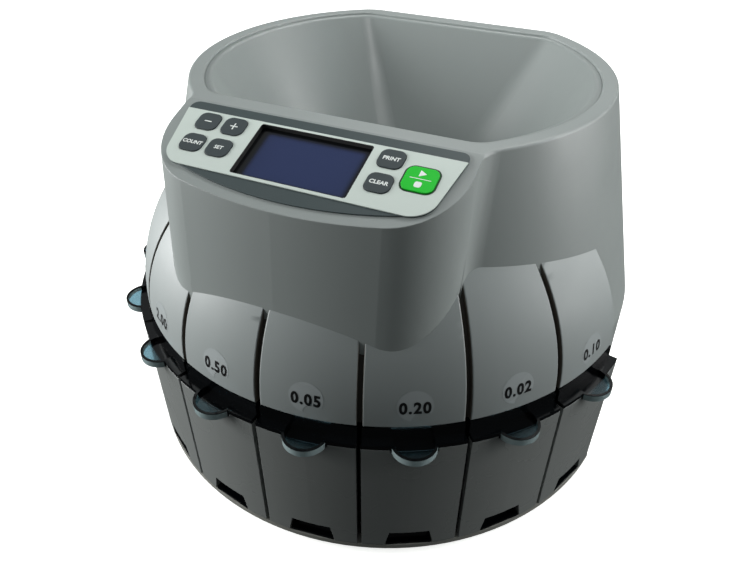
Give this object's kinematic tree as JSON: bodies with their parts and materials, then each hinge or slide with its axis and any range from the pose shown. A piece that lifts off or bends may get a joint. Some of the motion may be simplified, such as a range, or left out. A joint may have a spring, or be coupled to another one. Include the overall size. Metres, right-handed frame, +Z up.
{
  "type": "coin sorting machine",
  "caption": "Desktop coin sorter: a top hopper and turning disc feed coins round a graded deck, and each kind drops into its own pull-out drawer below a sloped keypad console.",
  "frame": {"origin": "on the table, under the axis of the feed disc", "axes": "+Z up, -Y towards the user in front of the keypad, +X to the user's right"},
  "size_m": [0.3424, 0.3324, 0.2395],
  "materials": {
    "housing_grey": "satin moulded grey",
    "petal_grey": "satin grey with soft gloss",
    "front_grey": "glossy dark warm grey",
    "smoked_teal": "glossy smoked plastic",
    "hopper_grey": "satin moulded grey",
    "groove_dark": "matte dark liner",
    "panel_slate": "satin slate",
    "overlay_pale": "satin pale film",
    "display_clear": "clear window",
    "display_navy": "dark blue display",
    "key_slate": "satin slate key",
    "key_green": "bright green key",
    "board_green": "printed board",
    "black_plastic": "matte black",
    "soft_black": "matte rubber",
    "pan_paint": "light grey powder coat",
    "bracket_zinc": "zinc grey",
    "deck_aluminium": "turned aluminium",
    "bright_steel": "brushed steel",
    "contact_brass": "bright contact"
  },
  "bodies": {
    "chassis": {"base_pan": "pan_paint", "bay_dividers": "black_plastic", "rubber_feet": "soft_black", "upper_housing": "housing_grey", "hopper_funnel": "hopper_grey", "petal_panels": "petal_grey", "hood_liner": "groove_dark", "panel_plate": "panel_slate", "panel_overlay": "overlay_pale", "display_window": "display_clear", "lcd_module": "display_navy", "control_board": "board_green", "key_switches": "black_plastic", "sorting_deck": "deck_aluminium", "coin_sensors": "black_plastic", "coin_rail": "bright_steel", "deck_posts": "bright_steel", "bearing_carrier": "deck_aluminium", "spindle_bearings": "bright_steel", "drive_belt": "soft_black", "drive_motor": "bracket_zinc", "motor_bracket": "bracket_zinc", "rear_cover": "housing_grey", "power_inlet": "black_plastic", "inlet_blades": "contact_brass", "switch_frame": "black_plastic", "data_port": "black_plastic", "power_supply": "black_plastic"},
    "feed_rotor": {"feed_disc": "bright_steel", "disc_cap": "black_plastic", "spindle": "bright_steel", "spindle_pulley": "black_plastic"},
    "motor_rotor": {"motor_pulley": "black_plastic", "motor_shaft": "bright_steel"},
    "drawer_1": {"coin_cup_1": "smoked_teal", "drawer_front_1": "front_grey"},
    "drawer_2": {"coin_cup_2": "smoked_teal", "drawer_front_2": "front_grey"},
    "drawer_3": {"coin_cup_3": "smoked_teal", "drawer_front_3": "front_grey"},
    "drawer_4": {"coin_cup_4": "smoked_teal", "drawer_front_4": "front_grey"},
    "drawer_5": {"coin_cup_5": "smoked_teal", "drawer_front_5": "front_grey"},
    "drawer_6": {"coin_cup_6": "smoked_teal", "drawer_front_6": "front_grey"},
    "drawer_7": {"coin_cup_7": "smoked_teal", "drawer_front_7": "front_grey"},
    "drawer_8": {"coin_cup_8": "smoked_teal", "drawer_front_8": "front_grey"},
    "minus_key": {"key_minus": "key_slate"},
    "plus_key": {"key_plus": "key_slate"},
    "count_key": {"key_count": "key_slate"},
    "setup_key": {"key_setup": "key_slate"},
    "report_key": {"key_report": "key_slate"},
    "clear_key": {"key_clear": "key_slate"},
    "start_key": {"key_start": "key_green"},
    "mains_rocker": {"power_rocker": "black_plastic"}
  },
  "joints": [
    {"name": "feed_spin", "type": "hinge", "parent": "chassis", "child": "feed_rotor", "pos_m": [0, 0, 0.1165], "axis": [0, 0, 1], "continuous": true},
    {"name": "motor_spin", "type": "hinge", "parent": "chassis", "child": "motor_rotor", "pos_m": [0, 0.06, 0.061], "axis": [0, 0, 1], "continuous": true},
    {"name": "drawer_1_slide", "type": "slide", "parent": "chassis", "child": "drawer_1", "axis": [-0.9483, -0.3173, 0], "range_m": [0, 0.072]},
    {"name": "drawer_2_slide", "type": "slide", "parent": "chassis", "child": "drawer_2", "axis": [-0.7826, -0.6225, 0], "range_m": [0, 0.072]},
    {"name": "drawer_3_slide", "type": "slide", "parent": "chassis", "child": "drawer_3", "axis": [-0.5225, -0.8526, 0], "range_m": [0, 0.072]},
    {"name": "drawer_4_slide", "type": "slide", "parent": "chassis", "child": "drawer_4", "axis": [-0.1994, -0.9799, 0], "range_m": [0, 0.072]},
    {"name": "drawer_5_slide", "type": "slide", "parent": "chassis", "child": "drawer_5", "axis": [0.1478, -0.989, 0], "range_m": [0, 0.072]},
    {"name": "drawer_6_slide", "type": "slide", "parent": "chassis", "child": "drawer_6", "axis": [0.4772, -0.8788, 0], "range_m": [0, 0.072]},
    {"name": "drawer_7_slide", "type": "slide", "parent": "chassis", "child": "drawer_7", "axis": [0.749, -0.6626, 0], "range_m": [0, 0.072]},
    {"name": "drawer_8_slide", "type": "slide", "parent": "chassis", "child": "drawer_8", "axis": [0.9304, -0.3665, 0], "range_m": [0, 0.072]},
    {"name": "minus_press", "type": "slide", "parent": "chassis", "child": "minus_key", "axis": [0, 0.342, -0.9397], "range_m": [0, 0.0008], "stiffness_N_per_m": 400},
    {"name": "plus_press", "type": "slide", "parent": "chassis", "child": "plus_key", "axis": [0, 0.342, -0.9397], "range_m": [0, 0.0008], "stiffness_N_per_m": 400},
    {"name": "count_press", "type": "slide", "parent": "chassis", "child": "count_key", "axis": [0, 0.342, -0.9397], "range_m": [0, 0.0008], "stiffness_N_per_m": 400},
    {"name": "setup_press", "type": "slide", "parent": "chassis", "child": "setup_key", "axis": [0, 0.342, -0.9397], "range_m": [0, 0.0008], "stiffness_N_per_m": 400},
    {"name": "report_press", "type": "slide", "parent": "chassis", "child": "report_key", "axis": [0, 0.342, -0.9397], "range_m": [0, 0.0008], "stiffness_N_per_m": 400},
    {"name": "clear_press", "type": "slide", "parent": "chassis", "child": "clear_key", "axis": [0, 0.342, -0.9397], "range_m": [0, 0.0008], "stiffness_N_per_m": 400},
    {"name": "start_press", "type": "slide", "parent": "chassis", "child": "start_key", "axis": [0, 0.342, -0.9397], "range_m": [0, 0.0008], "stiffness_N_per_m": 400},
    {"name": "rocker_tilt", "type": "hinge", "parent": "chassis", "child": "mains_rocker", "pos_m": [-0.018, 0.147, 0.034], "axis": [1, 0, 0], "range_deg": [0, 12]}
  ],
  "couplings": [
    {"joint": "motor_spin", "follows": "feed_spin", "ratio": 2.6667}
  ]
}
